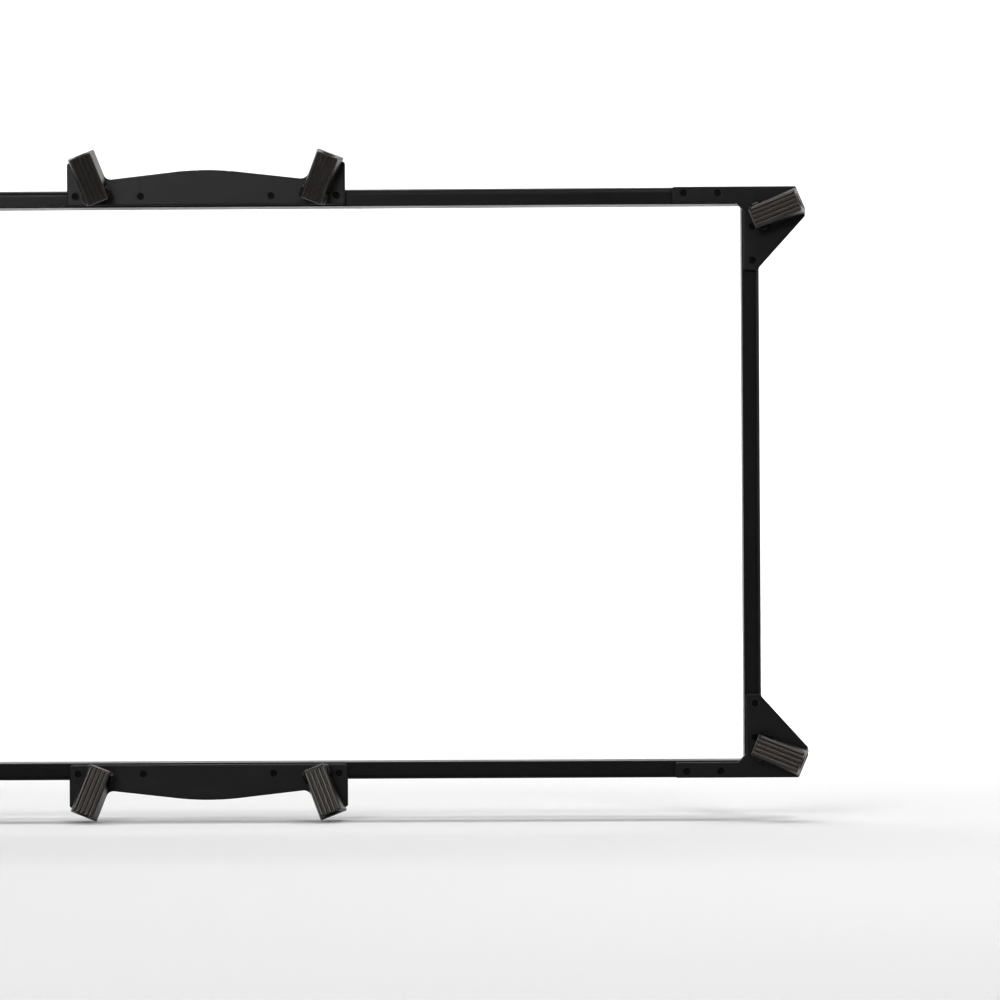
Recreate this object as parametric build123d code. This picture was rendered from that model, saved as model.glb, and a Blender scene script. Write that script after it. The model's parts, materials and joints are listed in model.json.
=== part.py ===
from build123d import *
import os
from math import cos, pi, radians, sin, tan

# Pole ring that holds a fabric light bank on the front of a two by one LED panel light.
# Four hollow rails make the ring. Thick plates brace its corners and the middles of its long
# rails, and each ear of a plate carries a folding socket that takes one flexible pole.
#
# Millimetres. The finished ring stands upright: +X right, +Z up, front towards -Y, with the origin at
# the centre of the aperture, in the plane of the ring's back faces.
# It is drawn lying on its back, with X right, Y up and Z towards the front, as the top right quarter.
# The other quarters are mirror images, and UPRIGHT stands the whole ring up.
UPRIGHT = Rot(90, 0, 0)
QUARTERS = {"top_right": (1, 1), "top_left": (-1, 1), "bottom_right": (1, -1), "bottom_left": (-1, -1)}

# Ring of four hollow rails, mitred at the corners
HALF_WIDTH = 309.0
HALF_HEIGHT = 165.0
RAIL_WIDTH = 9.5
RAIL_DEPTH = 20.0
RAIL_WALL = 1.8
RAIL_ROUND = 3.0
RAIL_EDGE = 0.5
GROOVE_WIDTH = 3.0
GROOVE_DEPTH = 0.9
GROOVE_MIDDLE = 4.5
MITRE_REACH = 20.0

# How far a cutting shape passes through the surface that it cuts
CUT_MARGIN = 1.0

# Plates on the front of the ring
PLATE_THICK = 3.0
PLATE_FRONT = RAIL_DEPTH + PLATE_THICK
PLATE_INSET = 0.8
PLATE_EDGE = 0.8
PLATE_ROUND = 1.5
INNER_X = HALF_WIDTH - RAIL_WIDTH + PLATE_INSET
INNER_Y = HALF_HEIGHT - RAIL_WIDTH + PLATE_INSET

# Corner plate: an L with an ear that points out of the corner
TOP_ARM = 48.5
SIDE_ARM = 46.8
INNER_CHAMFER = 4.6
EAR_TOP_X = 329.5
EAR_END = (334.7, 152.8)
EAR_LOW = (334.7, 148.2)
EAR_FOOT_Y = 119.8

# Centre plate: a low crown between two ears
CENTRE_HALF = 77.8
CAP_OUTER_Y = 179.8
CAP_INNER = (62.4, 186.6)
CROWN_APEX = 177.1
CROWN_SLOPE = 6.5
CROWN_ROUND = 158.0
VALLEY_ROUND = 4.5
CAP_ROUND = 1.2

# Folding sockets: where the pin line crosses the plate, which way the socket points seen from the
# front, the side of its pivot screw's head, and how far its bore leans forward
CORNER_PIN = (308.6, 147.7)
CENTRE_PIN = (60.7, 161.3)
SPLAY = 21.5
SEATS = {"corner": (CORNER_PIN, SPLAY, 1), "centre": (CENTRE_PIN, 90 - SPLAY, -1)}
BORE_TILT = 10.0

# Hinge bracket: a U of sheet steel riveted to the plate, with its cheeks about the pin
PIN_HEIGHT = 6.0
BRACKET_SHEET = 1.5
CHEEK_RADIUS = 3.7
CHEEK_INNER = 3.7
CHEEK_OUTER = CHEEK_INNER + BRACKET_SHEET
BASE_BACK = 1.5
BRACKET_OUTER_BEND = 1.8
BRACKET_INNER_BEND = 0.4

# Socket body, measured from the pin: a drafted wedge, with a hood over the bracket's cheeks, that
# lies on the ear while its bore and ribbed face lean forward
BODY_GAP = 0.3
NECK_HALF = CHEEK_INNER - BODY_GAP
NECK_RADIUS = 3.6
NOSE_ROUND = 2.6
BODY_TOP = 6.0
HOOD_LOW = CHEEK_RADIUS + BODY_GAP
SHOULDER = CHEEK_RADIUS + 0.4
BODY_END = 24.2
TOP_HALF = 6.1
BASE_HALF = 7.9
BODY_ROUND = 1.0
END_ROUND = 0.6
BORE_RADIUS = 4.1
BORE_LENGTH = 17.5
BORE_CHAMFER = 0.5
RIB_GROOVES = 4
RIB_PITCH = 2.5
RIB_GROOVE_RADIUS = 0.9
RIB_GROOVE_LIFT = 0.2

# Countersunk plate screws, and the keys and nut bars that they are tapped into
SCREW_INSET = 3.6
SCREW_PITCH = 19.0
TOP_ARM_SCREWS = (23.0, 23.0 + SCREW_PITCH)
SIDE_ARM_SCREWS = (22.4, 22.4 + SCREW_PITCH)
CENTRE_SCREWS = (36.5, 73.0)
SCREW_RADIUS = 1.25
SCREW_HEAD = 2.1
SCREW_LENGTH = 9.5
SCREW_TIP_CHAMFER = 0.4
SCREW_HEX = 1.0
SCREW_HEX_DEPTH = 0.8
SCREW_SUNK = 0.8
THREAD_GAP = 0.05
CLEARANCE_RADIUS = 1.45
KEY_GAP = 0.15
KEY_DEPTH = 8.0
KEY_END_GAP = 1.0
KEY_CHAMFER = 0.6
NUT_BAR_DEPTH = 5.0
NUT_BAR_HALF = 80.0

# Pivot screw, nut and spring washer
PIVOT_RADIUS = 1.75
PIVOT_FIT = 0.05
PIVOT_HEAD_RADIUS = 3.4
PIVOT_HEAD_HEIGHT = 2.6
PIVOT_HEAD_DOME = 1.7
PIVOT_HEX = 1.3
PIVOT_HEX_DEPTH = 1.2
WASHER_THICK = 0.7
WASHER_RADIUS = 3.2
WASHER_SLIT = 0.7
WASHER_SLIT_LEAN = 30
NUT_THICK = 1.8
NUT_FLATS = 6.0
NUT_CHAMFER = 0.35
PIVOT_TIP = 0.3
PIVOT_TIP_CHAMFER = 0.25

# Flush rivets through the bracket's base and the plate
RIVET_RADIUS = 0.9
RIVET_HEAD = 1.35
RIVET_CONE = 0.45
RIVET_ALONG = 1.4
RIVET_ACROSS = 1.8

HEX_SIDES = 6
TOP_MIDDLE = (Align.CENTER, Align.CENTER, Align.MAX)
LOW_MIDDLE = (Align.CENTER, Align.CENTER, Align.MIN)


def rounded(outline, corners, radius):
    """The outline with the corners nearest to the given points rounded."""
    chosen = [outline.vertices().sort_by_distance(corner)[0] for corner in corners]
    return fillet(chosen, radius)


def in_quarter(shape, side, level):
    """The top right shape, mirrored into another quarter of the ring."""
    if side < 0:
        shape = mirror(shape, about=Plane.YZ)
    if level < 0:
        shape = mirror(shape, about=Plane.XZ)
    return shape


def seat(place):
    """Frame of a hinge: origin on the plate's front under the pin, X along the socket, Z forward."""
    (x, y), azimuth, _ = SEATS[place]
    return Pos(x, y, PLATE_FRONT) * Rot(0, 0, azimuth)


def pin_frame(place):
    """Frame of a socket body: origin at the middle of its pin, X along the tilted pole bore."""
    return seat(place) * Pos(0, 0, PIN_HEIGHT) * Rot(0, -BORE_TILT, 0)


def corner_screw_places():
    """Screw centres on the arms of the top right corner plate."""
    top = [(HALF_WIDTH - along, HALF_HEIGHT - SCREW_INSET) for along in TOP_ARM_SCREWS]
    side = [(HALF_WIDTH - SCREW_INSET, HALF_HEIGHT - along) for along in SIDE_ARM_SCREWS]
    return top + side


def centre_screw_places():
    """Screw centres along the whole top centre plate."""
    return [(sign * x, HALF_HEIGHT - SCREW_INSET) for x in CENTRE_SCREWS for sign in (-1, 1)]


def rivet_places(place):
    """Frames of a hinge's two rivets, on the bracket's base."""
    spots = [(RIVET_ALONG, -RIVET_ACROSS), (RIVET_ALONG, RIVET_ACROSS)]
    return [seat(place) * Pos(x, y, BRACKET_SHEET) for x, y in spots]


def drill(shape, places, radius, low, high):
    """The shape with round holes from one height to another."""
    hole = Cylinder(radius, high - low, align=LOW_MIDDLE)
    for x, y in places:
        shape -= Pos(x, y, low) * hole
    return shape


# --- ring ---------------------------------------------------------------------------------------


def rail_profile(outer):
    """Section of a hollow rail, with its outer face at the given distance from the centre."""
    profile = Pos(outer, 0) * Rectangle(RAIL_WIDTH, RAIL_DEPTH, align=(Align.MAX, Align.MIN))
    inner = outer - RAIL_WIDTH
    profile = rounded(profile, [(outer, RAIL_DEPTH)], RAIL_ROUND)
    profile = rounded(profile, [(inner, RAIL_DEPTH), (inner, 0), (outer, 0)], RAIL_EDGE)
    hollow = Rectangle(RAIL_WIDTH - 2 * RAIL_WALL, RAIL_DEPTH - 2 * RAIL_WALL, align=Align.MIN)
    groove = Rectangle(2 * GROOVE_DEPTH, GROOVE_WIDTH)
    return profile - Pos(inner + RAIL_WALL, RAIL_WALL) * hollow - Pos(outer, GROOVE_MIDDLE) * groove


def mitre_block(first, second):
    """Block with 45 degree ends that keeps one rail between its two mitres."""
    far = (first + MITRE_REACH, second + MITRE_REACH)
    near = (first - MITRE_REACH, second - MITRE_REACH)
    points = [far, (far[0], -far[1]), (near[0], -near[1]), near]
    block = extrude(make_face(Polyline(*points, close=True)), RAIL_DEPTH + 2 * CUT_MARGIN)
    return Pos(0, 0, -CUT_MARGIN) * block


def side_rail():
    """The right rail, with clearance holes for the corner plates' screws."""
    rail = extrude(Plane.XZ * rail_profile(HALF_WIDTH), HALF_HEIGHT, both=True)
    rail = rail & mitre_block(HALF_WIDTH, HALF_HEIGHT)
    places = [(x, sign * y) for x, y in corner_screw_places()[2:] for sign in (-1, 1)]
    return drill(rail, places, CLEARANCE_RADIUS, RAIL_DEPTH - 2 * RAIL_WALL, RAIL_DEPTH + CUT_MARGIN)


def long_rail():
    """The top rail, with clearance holes for the corner and centre plates' screws."""
    rail = extrude(Plane.YZ * rail_profile(HALF_HEIGHT), HALF_WIDTH, both=True)
    diagonal = Plane(origin=(0, 0, 0), z_dir=(1, -1, 0))
    rail = rail & mirror(mitre_block(HALF_HEIGHT, HALF_WIDTH), about=diagonal)
    corners = [(sign * x, y) for x, y in corner_screw_places()[:2] for sign in (-1, 1)]
    places = corners + centre_screw_places()
    return drill(rail, places, CLEARANCE_RADIUS, RAIL_DEPTH - 2 * RAIL_WALL, RAIL_DEPTH + CUT_MARGIN)


def corner_key():
    """L key that joins two rails from inside, tapped for the corner plate's screws."""
    low = RAIL_WALL + KEY_GAP
    high = RAIL_WIDTH - RAIL_WALL - KEY_GAP
    left = HALF_WIDTH - TOP_ARM + KEY_END_GAP
    bottom = HALF_HEIGHT - SIDE_ARM + KEY_END_GAP
    outer = (HALF_WIDTH - low, HALF_HEIGHT - low)
    inner = (HALF_WIDTH - high, HALF_HEIGHT - high)
    points = [(left, outer[1]), outer, (outer[0], bottom), (inner[0], bottom), inner, (left, inner[1])]
    outline = make_face(Polyline(*points, close=True))
    outline = chamfer([outline.vertices().sort_by_distance(outer)[0]], KEY_CHAMFER)
    top = RAIL_DEPTH - RAIL_WALL
    key = Pos(0, 0, top - KEY_DEPTH) * extrude(outline, KEY_DEPTH)
    floor = top - KEY_DEPTH - CUT_MARGIN
    return drill(key, corner_screw_places(), SCREW_RADIUS + THREAD_GAP, floor, top + CUT_MARGIN)


def nut_bar():
    """Bar inside the top rail, tapped for the centre plate's screws."""
    width = RAIL_WIDTH - 2 * (RAIL_WALL + KEY_GAP)
    top = RAIL_DEPTH - RAIL_WALL
    bar = Box(2 * NUT_BAR_HALF, width, NUT_BAR_DEPTH, align=TOP_MIDDLE)
    bar = Pos(0, HALF_HEIGHT - RAIL_WIDTH / 2, top) * bar
    bar = chamfer(bar.edges().filter_by(Axis.Y), KEY_CHAMFER)
    floor = top - NUT_BAR_DEPTH - CUT_MARGIN
    return drill(bar, centre_screw_places(), SCREW_RADIUS + THREAD_GAP, floor, top + CUT_MARGIN)


# --- plates -------------------------------------------------------------------------------------


def corner_outline():
    """Flat outline of the top right corner plate."""
    arm_left = HALF_WIDTH - TOP_ARM
    arm_foot = HALF_HEIGHT - SIDE_ARM
    points = [
        (arm_left, HALF_HEIGHT),
        (EAR_TOP_X, HALF_HEIGHT),
        EAR_END,
        EAR_LOW,
        (HALF_WIDTH, EAR_FOOT_Y),
        (HALF_WIDTH, arm_foot),
        (INNER_X, arm_foot),
        (INNER_X, INNER_Y - INNER_CHAMFER),
        (INNER_X - INNER_CHAMFER, INNER_Y),
        (arm_left, INNER_Y),
    ]
    outline = make_face(Polyline(*points, close=True))
    arm_ends = [(arm_left, HALF_HEIGHT), (arm_left, INNER_Y), (HALF_WIDTH, arm_foot), (INNER_X, arm_foot)]
    outline = rounded(outline, arm_ends, PLATE_ROUND)
    return rounded(outline, [(EAR_TOP_X, HALF_HEIGHT), EAR_END, EAR_LOW], CAP_ROUND)


def centre_outline():
    """Flat outline of the top centre plate."""
    lean = tan(radians(SPLAY))
    slope = tan(radians(CROWN_SLOPE))
    foot_x = CAP_INNER[0] - lean * CAP_INNER[1]
    valley_y = (CROWN_APEX - slope * foot_x) / (1 + slope * lean)
    valley_x = foot_x + lean * valley_y
    right = [
        (CENTRE_HALF, INNER_Y),
        (CENTRE_HALF, CAP_OUTER_Y),
        CAP_INNER,
        (valley_x, valley_y),
    ]
    left = [(-x, y) for x, y in reversed(right)]
    outline = make_face(Polyline(*right, (0, CROWN_APEX), *left, close=True))
    outline = rounded(outline, [(0, CROWN_APEX)], CROWN_ROUND)
    outline = rounded(outline, [(valley_x, valley_y), (-valley_x, valley_y)], VALLEY_ROUND)
    feet = [(CENTRE_HALF, INNER_Y), (-CENTRE_HALF, INNER_Y)]
    outline = rounded(outline, feet, PLATE_ROUND)
    caps = [(sign * x, y) for x, y in right[1:3] for sign in (-1, 1)]
    return rounded(outline, caps, CAP_ROUND)


def screw_seats(plate, places):
    """The plate with a countersunk hole at each screw."""
    cone_height = SCREW_HEAD - SCREW_RADIUS
    cone = Cone(SCREW_RADIUS + THREAD_GAP, SCREW_HEAD + THREAD_GAP, cone_height, align=TOP_MIDDLE)
    mouth = Cylinder(SCREW_HEAD + THREAD_GAP, SCREW_SUNK + CUT_MARGIN, align=LOW_MIDDLE)
    for x, y in places:
        plate -= Pos(x, y, PLATE_FRONT - SCREW_SUNK) * (cone + mouth)
    return drill(plate, places, CLEARANCE_RADIUS, RAIL_DEPTH - CUT_MARGIN, PLATE_FRONT)


def rivet_body(gap):
    """Rivet with flush heads at both ends, as a solid or, with a gap, as the hole that takes it."""
    reach = BRACKET_SHEET + PLATE_THICK
    upper = Cone(RIVET_RADIUS + gap, RIVET_HEAD + gap, RIVET_CONE, align=TOP_MIDDLE)
    lower = Pos(0, 0, -reach) * Cone(RIVET_HEAD + gap, RIVET_RADIUS + gap, RIVET_CONE, align=LOW_MIDDLE)
    return Cylinder(RIVET_RADIUS + gap, reach, align=TOP_MIDDLE) + upper + lower


def finished_plate(outline, places, screws):
    """A plate from its outline: front edges broken, holes made."""
    plate = Pos(0, 0, RAIL_DEPTH) * extrude(outline, PLATE_THICK)
    plate = fillet(plate.faces().sort_by(Axis.Z)[-1].edges(), PLATE_EDGE)
    plate = screw_seats(plate, screws)
    for place in places:
        for frame in rivet_places(place):
            plate -= frame * rivet_body(THREAD_GAP)
    return plate


def corner_plate():
    """The top right corner plate."""
    return finished_plate(corner_outline(), ["corner"], corner_screw_places())


def centre_plate():
    """The top centre plate, as its drilled right half and the mirror image of that."""
    plate = finished_plate(centre_outline(), ["centre"], centre_screw_places())
    right = split(plate, bisect_by=Plane.YZ, keep=Keep.TOP)
    return right + mirror(right, about=Plane.YZ)


def flat_screw():
    """Countersunk screw, pointing down, with its head's top at the origin."""
    head = Cone(SCREW_RADIUS, SCREW_HEAD, SCREW_HEAD - SCREW_RADIUS, align=TOP_MIDDLE)
    shank = Cylinder(SCREW_RADIUS, SCREW_LENGTH, align=TOP_MIDDLE)
    shank = chamfer(shank.edges().sort_by(Axis.Z)[:1], SCREW_TIP_CHAMFER)
    recess = extrude(RegularPolygon(SCREW_HEX, HEX_SIDES), -SCREW_HEX_DEPTH)
    return head + shank - recess


# --- hinges -------------------------------------------------------------------------------------


def hinge_bracket():
    """U bracket in the hinge's own frame, drilled for the pivot screw and the rivets."""
    height = PIN_HEIGHT + CHEEK_RADIUS
    outer = Rectangle(2 * CHEEK_OUTER, height, align=(Align.CENTER, Align.MIN))
    outer = rounded(outer, [(-CHEEK_OUTER, 0), (CHEEK_OUTER, 0)], BRACKET_OUTER_BEND)
    inner = Pos(0, BRACKET_SHEET) * Rectangle(2 * CHEEK_INNER, height, align=(Align.CENTER, Align.MIN))
    feet = [(-CHEEK_INNER, BRACKET_SHEET), (CHEEK_INNER, BRACKET_SHEET)]
    channel = extrude(Plane.YZ * (outer - rounded(inner, feet, BRACKET_INNER_BEND)), CHEEK_RADIUS, both=True)
    cheek = Pos(-BASE_BACK, 0) * Rectangle(BASE_BACK + CHEEK_RADIUS, PIN_HEIGHT, align=Align.MIN)
    cheek = cheek + Pos(0, PIN_HEIGHT) * Circle(CHEEK_RADIUS)
    bracket = channel & extrude(Plane.XZ * cheek, 2 * CHEEK_OUTER, both=True)
    bracket -= Pos(0, 0, PIN_HEIGHT) * Rot(90, 0, 0) * Cylinder(PIVOT_RADIUS + PIVOT_FIT, 4 * CHEEK_OUTER)
    for across in (-RIVET_ACROSS, RIVET_ACROSS):
        bracket -= Pos(RIVET_ALONG, across, BRACKET_SHEET) * rivet_body(THREAD_GAP)
    return bracket


def underside(along):
    """Height of a body's underside, which clears the ear, at a distance along the leaning body."""
    lean = radians(BORE_TILT)
    return (BODY_GAP - PIN_HEIGHT - along * sin(lean)) / cos(lean)


def body_side():
    """Side outline of a socket body: a nose about the pin, then the block that lies on the ear."""
    nose_low = (0, -NECK_RADIUS)
    nose_front = (-NECK_RADIUS, 0)
    middle = (-NECK_RADIUS * cos(radians(45)), -NECK_RADIUS * sin(radians(45)))
    nose = ThreePointArc(nose_low, middle, nose_front)
    rest = Polyline(
        nose_front,
        (-NECK_RADIUS, BODY_TOP),
        (BODY_END, BODY_TOP),
        (BODY_END, underside(BODY_END)),
        (SHOULDER, underside(SHOULDER)),
        (SHOULDER, -NECK_RADIUS),
        nose_low,
    )
    return rounded(make_face(nose + rest), [(-NECK_RADIUS, BODY_TOP)], NOSE_ROUND)


def body_block():
    """Bar along X with drafted sides, from which the side outline cuts a socket body."""
    low = underside(BODY_END)
    corners = [(TOP_HALF, BODY_TOP), (-TOP_HALF, BODY_TOP), (-BASE_HALF, low), (BASE_HALF, low)]
    return extrude(Plane.YZ * make_face(Polyline(*corners, close=True)), 2 * BODY_END, both=True)


def cheek_notch(side):
    """Room under the hood for the bracket's cheek and the pivot's head or nut on one side of the neck."""
    inward = Align.MIN if side > 0 else Align.MAX
    notch = Box(4 * SHOULDER, 2 * BASE_HALF, 4 * BODY_TOP, align=(Align.MAX, inward, Align.MAX))
    return Pos(SHOULDER, side * NECK_HALF, HOOD_LOW) * notch


def is_long_top(edge):
    """True for the two edges that run along the top of a socket body."""
    middle = edge.center()
    at_top = abs(middle.Z - BODY_TOP) < BODY_GAP
    at_side = abs(middle.Y) > TOP_HALF - BODY_GAP
    return at_top and at_side and edge.length > SHOULDER


def socket_body():
    """Socket body in the frame of its pin."""
    body = body_block() & extrude(Plane.XZ * body_side(), 2 * BASE_HALF, both=True)
    body = fillet(body.edges().filter_by(is_long_top), BODY_ROUND)
    mouth = body.faces().sort_by(Axis.X)[-1]
    body = chamfer(mouth.edges(), END_ROUND)
    for side in (-1, 1):
        body -= cheek_notch(side)
    for row in range(RIB_GROOVES):
        across = (row - (RIB_GROOVES - 1) / 2) * RIB_PITCH
        cutter = Rot(0, 90, 0) * Cylinder(RIB_GROOVE_RADIUS, 4 * BODY_END)
        body -= Pos(0, across, BODY_TOP + RIB_GROOVE_LIFT) * cutter
    bore = Rot(0, 90, 0) * Cylinder(BORE_RADIUS, BORE_LENGTH, align=TOP_MIDDLE)
    lead_in = Rot(0, 90, 0) * Cone(BORE_RADIUS, BORE_RADIUS + BORE_CHAMFER, BORE_CHAMFER, align=TOP_MIDDLE)
    body -= Pos(BODY_END, 0, 0) * (bore + lead_in)
    return body - Rot(90, 0, 0) * Cylinder(PIVOT_RADIUS + PIVOT_FIT, 4 * BASE_HALF)


def across_pin(place):
    """Frame on a hinge's pin, with Z along the pin towards the side where the screw's head is."""
    head_side = SEATS[place][2]
    return seat(place) * Pos(0, 0, PIN_HEIGHT) * Rot(-90 * head_side, 0, 0)


def pivot_screw():
    """Button-head pivot screw in the frame across the pin."""
    reach = 2 * CHEEK_OUTER + WASHER_THICK + NUT_THICK + PIVOT_TIP
    shank = Pos(0, 0, CHEEK_OUTER) * Cylinder(PIVOT_RADIUS, reach, align=TOP_MIDDLE)
    shank = chamfer(shank.edges().sort_by(Axis.Z)[:1], PIVOT_TIP_CHAMFER)
    head = Cylinder(PIVOT_HEAD_RADIUS, PIVOT_HEAD_HEIGHT, align=LOW_MIDDLE)
    head = fillet(head.edges().sort_by(Axis.Z)[-1:], PIVOT_HEAD_DOME)
    recess = Pos(0, 0, PIVOT_HEAD_HEIGHT) * extrude(RegularPolygon(PIVOT_HEX, HEX_SIDES), -PIVOT_HEX_DEPTH)
    return shank + Pos(0, 0, CHEEK_OUTER) * (head - recess)


def spring_washer():
    """Split spring washer between the far cheek and the nut."""
    ring = Cylinder(WASHER_RADIUS, WASHER_THICK, align=TOP_MIDDLE)
    ring -= Cylinder(PIVOT_RADIUS + PIVOT_FIT, 4 * WASHER_THICK)
    slit = Rot(WASHER_SLIT_LEAN, 0, 0) * Box(2 * PIVOT_RADIUS, WASHER_SLIT, 6 * WASHER_THICK)
    slit = Pos(WASHER_RADIUS, 0, 0) * slit
    return Pos(0, 0, -CHEEK_OUTER) * (ring - slit)


def pivot_nut():
    """Hexagon nut on the far end of the pivot screw."""
    nut = extrude(RegularPolygon(NUT_FLATS / 2, HEX_SIDES, major_radius=False), -NUT_THICK)
    corner = NUT_FLATS / 2 / cos(pi / HEX_SIDES)
    blank = Cylinder(corner, NUT_THICK, align=TOP_MIDDLE)
    nut = nut & chamfer(blank.edges().filter_by(GeomType.CIRCLE), NUT_CHAMFER)
    nut -= Cylinder(PIVOT_RADIUS + PIVOT_FIT, 4 * NUT_THICK)
    return Pos(0, 0, -CHEEK_OUTER - WASHER_THICK) * nut


# --- export -------------------------------------------------------------------------------------


def save(name, shape):
    """Stands a shape up and writes it as one node."""
    export_step(UPRIGHT * shape, f"parts/{name}.step")


def save_group(name, shapes):
    """Writes several identical solids as one node."""
    save(name, Compound(children=shapes))


def in_every_quarter(shapes):
    """Copies of the shapes in all four quarters."""
    return [in_quarter(shape, side, level) for side, level in QUARTERS.values() for shape in shapes]


def save_ring():
    """Rails, keys and nut bars."""
    save("rail_right", side_rail())
    save("rail_left", mirror(side_rail(), about=Plane.YZ))
    save("rail_top", long_rail())
    save("rail_bottom", mirror(long_rail(), about=Plane.XZ))
    save("nut_bar_top", nut_bar())
    save("nut_bar_bottom", mirror(nut_bar(), about=Plane.XZ))
    for quarter, (side, level) in QUARTERS.items():
        save(f"corner_key_{quarter}", in_quarter(corner_key(), side, level))


def save_plates():
    """Plates and their screws."""
    plate = corner_plate()
    for quarter, (side, level) in QUARTERS.items():
        save(f"corner_plate_{quarter}", in_quarter(plate, side, level))
    centre = centre_plate()
    save("centre_plate_top", centre)
    save("centre_plate_bottom", mirror(centre, about=Plane.XZ))
    screw = Pos(0, 0, PLATE_FRONT - SCREW_SUNK) * flat_screw()
    corner_screws = [Pos(x, y, 0) * screw for x, y in corner_screw_places()]
    save_group("corner_plate_screws", in_every_quarter(corner_screws))
    centre_screws = [Pos(x, y, 0) * screw for x, y in centre_screw_places()]
    save_group("centre_plate_screws", centre_screws + [mirror(s, about=Plane.XZ) for s in centre_screws])


def save_hinges():
    """Brackets, socket bodies and their pivots and rivets."""
    for place in SEATS:
        bracket = seat(place) * hinge_bracket()
        body = pin_frame(place) * socket_body()
        for quarter, (side, level) in QUARTERS.items():
            save(f"hinge_bracket_{place}_{quarter}", in_quarter(bracket, side, level))
            save(f"socket_{place}_{quarter}", in_quarter(body, side, level))
    for name, piece in (
        ("pivot_screws", pivot_screw()),
        ("spring_washers", spring_washer()),
        ("pivot_nuts", pivot_nut()),
    ):
        save_group(name, in_every_quarter([across_pin(place) * piece for place in SEATS]))
    rivets = [frame * rivet_body(0) for place in SEATS for frame in rivet_places(place)]
    save_group("bracket_rivets", in_every_quarter(rivets))


os.makedirs("parts", exist_ok=True)
save_ring()
save_plates()
save_hinges()
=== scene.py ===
import bpy
import json
import math
from mathutils import Matrix, Vector


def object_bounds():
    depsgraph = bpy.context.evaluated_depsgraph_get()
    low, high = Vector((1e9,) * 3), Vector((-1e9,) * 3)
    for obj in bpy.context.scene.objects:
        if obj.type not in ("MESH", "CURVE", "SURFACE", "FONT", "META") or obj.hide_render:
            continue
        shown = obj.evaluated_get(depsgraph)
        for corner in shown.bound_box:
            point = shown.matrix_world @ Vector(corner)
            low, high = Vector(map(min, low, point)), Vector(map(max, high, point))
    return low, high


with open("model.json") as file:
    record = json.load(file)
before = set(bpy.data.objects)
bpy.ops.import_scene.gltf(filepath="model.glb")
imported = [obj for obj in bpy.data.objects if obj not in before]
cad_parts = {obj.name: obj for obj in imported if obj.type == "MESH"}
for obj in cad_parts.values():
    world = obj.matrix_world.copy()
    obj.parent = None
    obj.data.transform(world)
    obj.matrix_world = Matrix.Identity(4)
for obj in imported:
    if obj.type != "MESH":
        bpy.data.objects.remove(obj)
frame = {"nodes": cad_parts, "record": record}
cad_low, cad_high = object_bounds()

# Metres, in the CAD frame: +X right, +Z up, and the front of the ring faces -Y.
MM = 0.001

# Camera in front of the ring and right of its centre, so that the ring's left part is out of the frame
EYE = (0.1938, -2.5, -0.0305)
YAW, PITCH, ROLL = math.radians(-0.698), math.radians(0.487), math.radians(-0.302)
SENSOR, LENS = 36.0, 159.7

# Seamless pale stage: a round floor whose rim sweeps up into a wall
FLOOR_GAP = 0.5 * MM
STAGE_RADIUS = 7.0
STAGE_SWEEP = 2.0
STAGE_WALL = 6.0
STAGE_SIDES = 96
STAGE_STEPS = 16
STAGE_GREY = 0.62
STAGE_ROUGHNESS = 0.9

# Studio air, and area lights by name: place, point aimed at, width and height, and watts.
# The first four light the ring. The washes keep the floor and the wall pale from every side.
AIR_STRENGTH = 0.03
LIGHTS = {
    "soft_front": ((-0.95, -2.75, 1.0), (0.0, 0.0, 0.0), (1.5, 0.5), 33.0),
    "key_right": ((0.55, -0.75, 1.1), (0.1, 0.0, 0.0), (0.3, 0.3), 4.5),
    "side_right": ((1.5, -0.25, 0.35), (0.1, 0.0, 0.1), (0.2, 0.5), 2.5),
    "top_near": ((-0.15, -0.35, 0.95), (-0.05, 0.0, 0.1), (0.9, 0.3), 1.5),
    "wash_floor": ((0.0, 2.2, 3.5), (0.0, 2.2, 0.0), (3.0, 2.0), 90.0),
    "wash_front": ((0.0, -3.9, 2.4), (0.0, -3.9, 0.0), (3.2, 1.6), 18.0),
    "wash_back": ((0.0, 2.2, 3.2), (0.0, 6.0, 0.4), (4.0, 2.0), 240.0),
    "wash_left": ((-2.6, 1.2, 3.2), (-6.4, 1.0, 0.5), (4.0, 2.0), 110.0),
    "wash_right": ((2.6, 1.2, 3.2), (6.4, 1.0, 0.5), (4.0, 2.0), 110.0),
}

# Tints of the greys, as shares of red, green and blue
NEUTRAL = (1.0, 1.0, 1.0)
RAIL_TINT = (1.0, 1.0, 1.04)
PLATE_TINT = (1.0, 1.0, 1.03)
ALUMINIUM_TINT = (1.0, 1.0, 1.01)
STEEL_TINT = (1.0, 0.99, 0.97)
SOCKET_TINT = (1.0, 0.88, 0.78)
SOCKET_SHEEN = (1.0, 0.93, 0.87)

NOISE_ROUGHNESS = 0.55

# Edge finder: samples, and how far the rounded and true normals agree on a full edge and on a flat face
EDGE_SAMPLES = 4
EDGE_FULL, EDGE_NONE = 0.72, 0.995

# Stretch of the fine lines that drawing leaves along a rail, and of mill marks on bare aluminium
DRAWN_STRETCH = 0.004
MILLED_STRETCH = 0.05


# --- shader node helpers ------------------------------------------------------------------------


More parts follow.
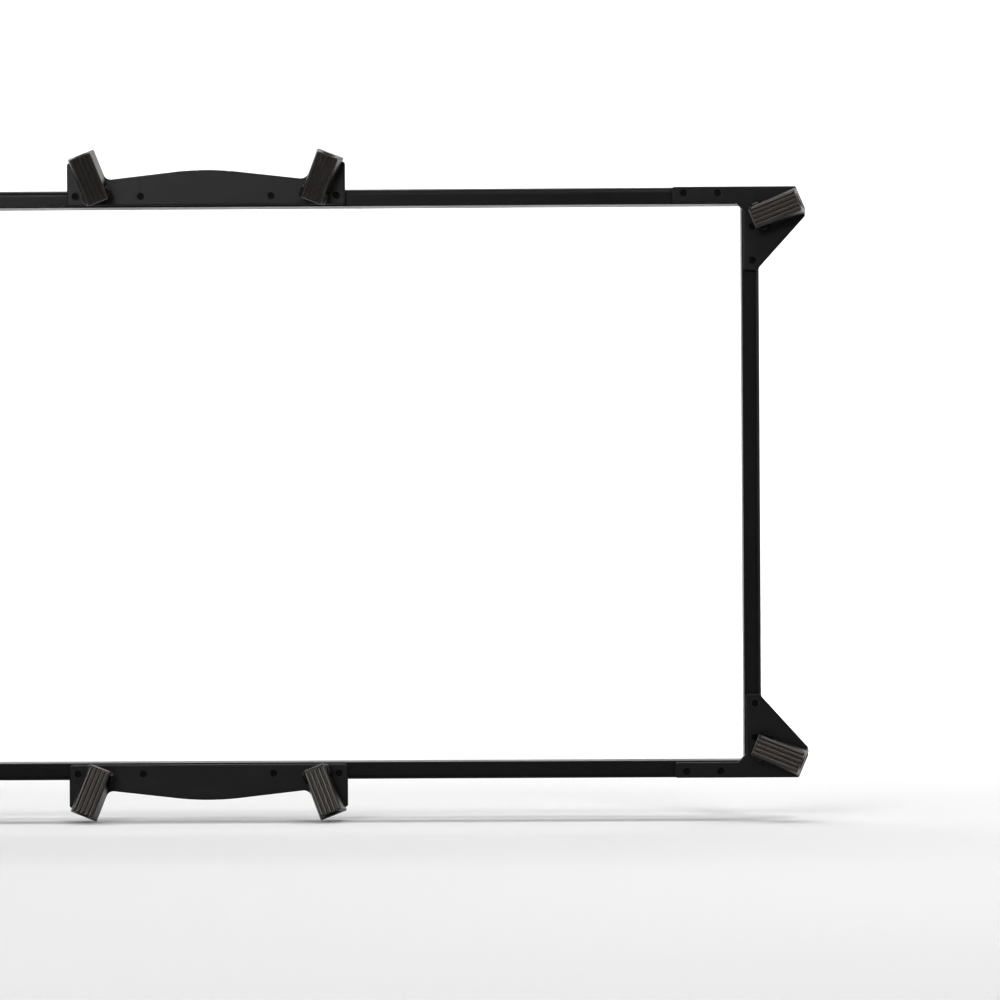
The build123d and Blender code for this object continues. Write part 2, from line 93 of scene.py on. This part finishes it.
class Finish:
    """A procedural material, built from small steps that each return a node socket."""

    def __init__(self, name):
        self.material = bpy.data.materials.new(name)
        self.material.use_nodes = True
        self.nodes = self.material.node_tree.nodes
        self.links = self.material.node_tree.links
        self.shader = self.nodes["Principled BSDF"]
        self.place = self.nodes.new("ShaderNodeTexCoord").outputs["Object"]

    def join(self, value, socket):
        """Links a socket, or sets a plain value."""
        if isinstance(value, bpy.types.NodeSocket):
            self.links.new(value, socket)
        else:
            socket.default_value = value

    def stretched(self, scale):
        """Object coordinates times a scale along each axis."""
        node = self.nodes.new("ShaderNodeMapping")
        self.links.new(self.place, node.inputs["Vector"])
        node.inputs["Scale"].default_value = scale
        return node.outputs["Vector"]

    def noise(self, scale, detail=3.0, stretch=(1, 1, 1)):
        """Noise of so many features per metre."""
        node = self.nodes.new("ShaderNodeTexNoise")
        self.links.new(self.stretched(stretch), node.inputs["Vector"])
        node.inputs["Scale"].default_value = scale
        node.inputs["Detail"].default_value = detail
        node.inputs["Roughness"].default_value = NOISE_ROUGHNESS
        return node.outputs["Fac"]

    def cells(self, scale):
        """Distance to the nearest of scattered points, for grains and pits."""
        node = self.nodes.new("ShaderNodeTexVoronoi")
        self.links.new(self.place, node.inputs["Vector"])
        node.inputs["Scale"].default_value = scale
        return node.outputs["Distance"]

    def between(self, value, low, high, start=0.0, end=1.0):
        """Maps a range of values to another, clamped."""
        node = self.nodes.new("ShaderNodeMapRange")
        self.join(value, node.inputs["Value"])
        limits = {"From Min": start, "From Max": end, "To Min": low, "To Max": high}
        for name, number in limits.items():
            self.join(number, node.inputs[name])
        return node.outputs["Result"]

    def maths(self, operation, first, second):
        """One sum, difference or product of two values."""
        node = self.nodes.new("ShaderNodeMath")
        node.operation = operation
        self.join(first, node.inputs[0])
        self.join(second, node.inputs[1])
        return node.outputs[0]

    def mixed(self, share, first, second):
        """Mix of two colours."""
        node = self.nodes.new("ShaderNodeMix")
        node.data_type = "RGBA"
        self.join(share, node.inputs["Factor"])
        self.join(first, node.inputs["A"])
        self.join(second, node.inputs["B"])
        return node.outputs["Result"]

    def edges(self, radius):
        """1 on sharp edges and 0 on flat faces: how far a rounded normal turns from the true one."""
        bevel = self.nodes.new("ShaderNodeBevel")
        bevel.samples = EDGE_SAMPLES
        bevel.inputs["Radius"].default_value = radius
        geometry = self.nodes.new("ShaderNodeNewGeometry")
        dot = self.nodes.new("ShaderNodeVectorMath")
        dot.operation = "DOT_PRODUCT"
        self.links.new(bevel.outputs["Normal"], dot.inputs[0])
        self.links.new(geometry.outputs["Normal"], dot.inputs[1])
        return self.between(dot.outputs["Value"], 1.0, 0.0, start=EDGE_FULL, end=EDGE_NONE)

    def worn(self, radius, spread):
        """Share of bare wear: only on edges, and broken up along them."""
        broken = self.between(self.noise(spread, detail=4.0), 0.0, 1.0, start=0.38, end=0.66)
        return self.maths("MULTIPLY", self.edges(radius), broken)

    def rubbed(self, colour, wear, share, bare):
        """A colour that turns into the bare one where it is worn, up to a share."""
        return self.mixed(self.maths("MULTIPLY", wear, share), colour, bare)

    def polished(self, rough, wear, amount):
        """A roughness that drops by an amount where the surface is worn."""
        return self.maths("SUBTRACT", rough, self.maths("MULTIPLY", wear, amount))

    def bump(self, height, strength, distance, under=None):
        """A normal roughened by a height, over another normal if one is given."""
        node = self.nodes.new("ShaderNodeBump")
        self.links.new(height, node.inputs["Height"])
        node.inputs["Strength"].default_value = strength
        node.inputs["Distance"].default_value = distance
        if under is not None:
            self.links.new(under, node.inputs["Normal"])
        return node.outputs["Normal"]

    def surface(self, colour, roughness, normal):
        """Joins the finished colour, roughness and normal to the shader."""
        self.join(colour, self.shader.inputs["Base Color"])
        self.join(roughness, self.shader.inputs["Roughness"])
        self.join(normal, self.shader.inputs["Normal"])

    def fixed(self, **values):
        """Uniform values, set on the shader's own sockets."""
        for name, value in values.items():
            self.shader.inputs[name.replace("_", " ")].default_value = value


def grey(level, tint=NEUTRAL):
    """A grey of one level, tinted, as the four numbers of a colour."""
    return (level * tint[0], level * tint[1], level * tint[2], 1.0)


# --- materials ----------------------------------------------------------------------------------
#
# Noises are in features per metre, greys are linear, and worn() takes the width of an edge and the
# number of worn patches per metre.


def rail_black():
    """Satin black anodised extrusion with faint drawing lines along it."""
    finish = Finish("rail_black")
    lines_x = finish.noise(900, detail=2.0, stretch=(DRAWN_STRETCH, 1, 1))
    lines_z = finish.noise(900, detail=2.0, stretch=(1, 1, DRAWN_STRETCH))
    lines = finish.maths("MULTIPLY", lines_x, lines_z)
    cloud = finish.noise(14, detail=4.0)
    wear = finish.worn(0.45 * MM, 160)
    colour = finish.mixed(cloud, grey(0.004), grey(0.007, RAIL_TINT))
    colour = finish.rubbed(colour, wear, 0.55, grey(0.16))
    dull = finish.between(cloud, 0.30, 0.38, start=0.3, end=0.7)
    rough = finish.maths("ADD", dull, finish.between(lines, -0.05, 0.08, start=0.1, end=0.4))
    rough = finish.polished(rough, wear, 0.10)
    finish.surface(colour, rough, finish.bump(lines, 0.25, 0.04 * MM))
    finish.fixed(Metallic=0.0, Specular_IOR_Level=0.28)
    return finish.material


def plate_black():
    """Fine bead-blasted black anodised plate, rubbed lighter along its broken edges."""
    finish = Finish("plate_black")
    grain = finish.noise(5200, detail=2.0)
    cloud = finish.noise(18, detail=5.0)
    rubs = finish.noise(60, detail=5.0, stretch=(0.5, 1, 1))
    wear = finish.worn(0.5 * MM, 200)
    colour = finish.mixed(cloud, grey(0.006), grey(0.010, PLATE_TINT))
    handled = finish.between(rubs, 0.0, 0.35, start=0.56, end=0.80)
    colour = finish.mixed(handled, colour, grey(0.022))
    colour = finish.rubbed(colour, wear, 0.60, grey(0.20))
    rough = finish.between(rubs, 0.33, 0.43, start=0.35, end=0.7)
    rough = finish.maths("ADD", rough, finish.between(grain, -0.03, 0.03, start=0.3, end=0.7))
    rough = finish.polished(rough, wear, 0.12)
    finish.surface(colour, rough, finish.bump(grain, 0.35, 0.03 * MM))
    finish.fixed(Metallic=0.0, Specular_IOR_Level=0.35)
    return finish.material


def bare_aluminium():
    """Mill-finished aluminium with saw and mill marks."""
    finish = Finish("bare_aluminium")
    marks = finish.noise(1400, detail=2.0, stretch=(1, MILLED_STRETCH, 1))
    cloud = finish.noise(70, detail=4.0)
    wear = finish.worn(0.4 * MM, 300)
    colour = finish.mixed(cloud, grey(0.52, ALUMINIUM_TINT), grey(0.66))
    colour = finish.mixed(wear, colour, grey(0.82))
    dull = finish.between(cloud, 0.28, 0.42)
    rough = finish.maths("ADD", dull, finish.between(marks, -0.05, 0.08))
    finish.surface(colour, rough, finish.bump(marks, 0.35, 0.03 * MM))
    finish.fixed(Metallic=1.0)
    return finish.material


def black_steel():
    """Black coated steel of the hinge brackets and pivot screws, worn lighter along its edges."""
    finish = Finish("black_steel")
    peel = finish.noise(1500, detail=2.0)
    cloud = finish.noise(90, detail=4.0)
    wear = finish.worn(0.4 * MM, 420)
    colour = finish.mixed(cloud, grey(0.007), grey(0.013))
    colour = finish.rubbed(colour, wear, 0.75, grey(0.20, STEEL_TINT))
    rough = finish.polished(finish.between(cloud, 0.30, 0.42), wear, 0.08)
    finish.surface(colour, rough, finish.bump(peel, 0.30, 0.04 * MM))
    finish.fixed(Metallic=0.0, Specular_IOR_Level=0.35)
    return finish.material


def socket_black():
    """Moulded glass-filled plastic: a fine spark-eroded grain, greyer on its ribs and edges."""
    finish = Finish("socket_black")
    grain = finish.noise(3200, detail=3.0)
    pits = finish.cells(2600)
    flow = finish.noise(120, detail=4.0)
    wear = finish.worn(0.5 * MM, 500)
    colour = finish.mixed(flow, grey(0.006, SOCKET_TINT), grey(0.013, SOCKET_TINT))
    colour = finish.rubbed(colour, wear, 0.40, grey(0.08, SOCKET_TINT))
    dull = finish.between(flow, 0.29, 0.38)
    rough = finish.maths("ADD", dull, finish.between(grain, -0.05, 0.05))
    normal = finish.bump(grain, 0.40, 0.05 * MM)
    finish.surface(colour, rough, finish.bump(pits, 0.15, 0.03 * MM, under=normal))
    finish.fixed(Metallic=0.0, Specular_IOR_Level=0.70, Specular_Tint=grey(1.0, SOCKET_SHEEN))
    return finish.material


def screw_black():
    """Dull black oxide of the plate screws, nuts and washers, rubbed a little along their edges. Its
    grey is also kept below the plates' as painted shade, so the screw heads read as shaded sunk holes
    and the nuts sink into the shade beside the sockets.
    """
    finish = Finish("screw_black")
    grain = finish.noise(4200, detail=2.0)
    cloud = finish.noise(260, detail=4.0)
    wear = finish.worn(0.3 * MM, 900)
    # Painted shade: these greys sit below the plates' so the screws read as dark shaded holes and the
    # nuts disappear into shade. The rest of the darkness is their own black oxide.
    colour = finish.mixed(cloud, grey(0.002), grey(0.005, STEEL_TINT))
    colour = finish.rubbed(colour, wear, 0.45, grey(0.10))
    rough = finish.polished(finish.between(cloud, 0.42, 0.56), wear, 0.15)
    finish.surface(colour, rough, finish.bump(grain, 0.25, 0.02 * MM))
    finish.fixed(Metallic=0.0, Specular_IOR_Level=0.15)
    return finish.material


def rivet_black():
    """Coated flush rivets, with the tooling's faint dimples."""
    finish = Finish("rivet_black")
    dents = finish.noise(1800, detail=2.0)
    cloud = finish.noise(300, detail=3.0)
    wear = finish.worn(0.3 * MM, 800)
    colour = finish.mixed(cloud, grey(0.014), grey(0.026))
    colour = finish.rubbed(colour, wear, 0.75, grey(0.28))
    rough = finish.between(cloud, 0.32, 0.48)
    finish.surface(colour, rough, finish.bump(dents, 0.35, 0.05 * MM))
    finish.fixed(Metallic=0.2)
    return finish.material


FINISHES = {
    make.__name__: make()
    for make in (
        rail_black,
        plate_black,
        bare_aluminium,
        black_steel,
        socket_black,
        screw_black,
        rivet_black,
    )
}


def paint_nodes():
    """Gives each CAD node the finish of its material slot in the record."""
    for part in frame["record"]["subparts"]:
        shape = frame["nodes"][part["node"]]
        for slot in shape.material_slots:
            slot.material = FINISHES[part["material_slot"]]


# --- stage, lights and camera -------------------------------------------------------------------


def stage_profile():
    """Half section of the stage as radius and height: floor, quarter sweep, wall."""
    flat = STAGE_RADIUS - STAGE_SWEEP
    turns = [math.pi / 2 * step / STAGE_STEPS for step in range(STAGE_STEPS + 1)]
    sweep = [
        (flat + STAGE_SWEEP * math.sin(turn), STAGE_SWEEP * (1 - math.cos(turn)))
        for turn in turns
    ]
    return sweep + [(STAGE_RADIUS, STAGE_WALL)]


def make_stage(level):
    """A round floor that rises into a wall all round, as one smooth mesh."""
    points = [(0.0, 0.0, level)]
    faces = []
    profile = stage_profile()
    for radius, height in profile:
        for side in range(STAGE_SIDES):
            turn = 2 * math.pi * side / STAGE_SIDES
            points.append((radius * math.cos(turn), radius * math.sin(turn), level + height))
    for side in range(STAGE_SIDES):
        after = (side + 1) % STAGE_SIDES
        faces.append((0, 1 + side, 1 + after))
        for ring in range(len(profile) - 1):
            inner = 1 + ring * STAGE_SIDES
            outer = inner + STAGE_SIDES
            faces.append((inner + side, outer + side, outer + after, inner + after))
    mesh = bpy.data.meshes.new("stage_floor")
    mesh.from_pydata(points, [], faces)
    mesh.polygons.foreach_set("use_smooth", [True] * len(mesh.polygons))
    floor = bpy.data.objects.new("stage_floor", mesh)
    bpy.context.scene.collection.objects.link(floor)
    finish = Finish("stage_paper")
    tooth = finish.bump(finish.noise(300), 0.05, 0.2 * MM)
    finish.surface(grey(STAGE_GREY), STAGE_ROUGHNESS, tooth)
    finish.fixed(Specular_IOR_Level=0.1)
    mesh.materials.append(finish.material)


def area_light(name, place, aim, size, power):
    """A soft rectangular light at a place, turned towards a point."""
    lamp = bpy.data.lights.new(name, "AREA")
    lamp.shape = "RECTANGLE"
    lamp.size, lamp.size_y = size
    lamp.energy = power
    light = bpy.data.objects.new(name, lamp)
    light.location = place
    light.rotation_euler = (Vector(aim) - Vector(place)).to_track_quat("-Z", "Y").to_euler()
    bpy.context.scene.collection.objects.link(light)


def make_lights():
    """A faint even glow from all round, and the area lights."""
    world = bpy.data.worlds.new("studio_air")
    bpy.context.scene.world = world
    world.use_nodes = True
    backdrop = world.node_tree.nodes["Background"]
    backdrop.inputs["Color"].default_value = grey(1.0)
    backdrop.inputs["Strength"].default_value = AIR_STRENGTH
    for name, (place, aim, size, power) in LIGHTS.items():
        area_light(name, place, aim, size, power)


def make_camera():
    """The camera at its eye point, turned sideways by yaw, upwards by pitch and on its axis by roll."""
    level = math.cos(PITCH)
    right = Vector((math.cos(YAW), -math.sin(YAW), 0.0))
    forward = Vector((math.sin(YAW) * level, math.cos(YAW) * level, math.sin(PITCH)))
    up = right.cross(forward)
    turned_right = right * math.cos(ROLL) + up * math.sin(ROLL)
    turned_up = up * math.cos(ROLL) - right * math.sin(ROLL)
    data = bpy.data.cameras.new("camera")
    data.lens = LENS
    data.sensor_width = SENSOR
    camera = bpy.data.objects.new("camera", data)
    turn = Matrix((turned_right, turned_up, -forward)).transposed().to_4x4()
    camera.matrix_world = Matrix.Translation(EYE) @ turn
    bpy.context.scene.collection.objects.link(camera)
    bpy.context.scene.camera = camera


paint_nodes()
make_stage(cad_low.z - FLOOR_GAP)
make_lights()
make_camera()
bpy.context.scene.view_settings.view_transform = "Standard"
bpy.context.scene.view_settings.look = "High Contrast"
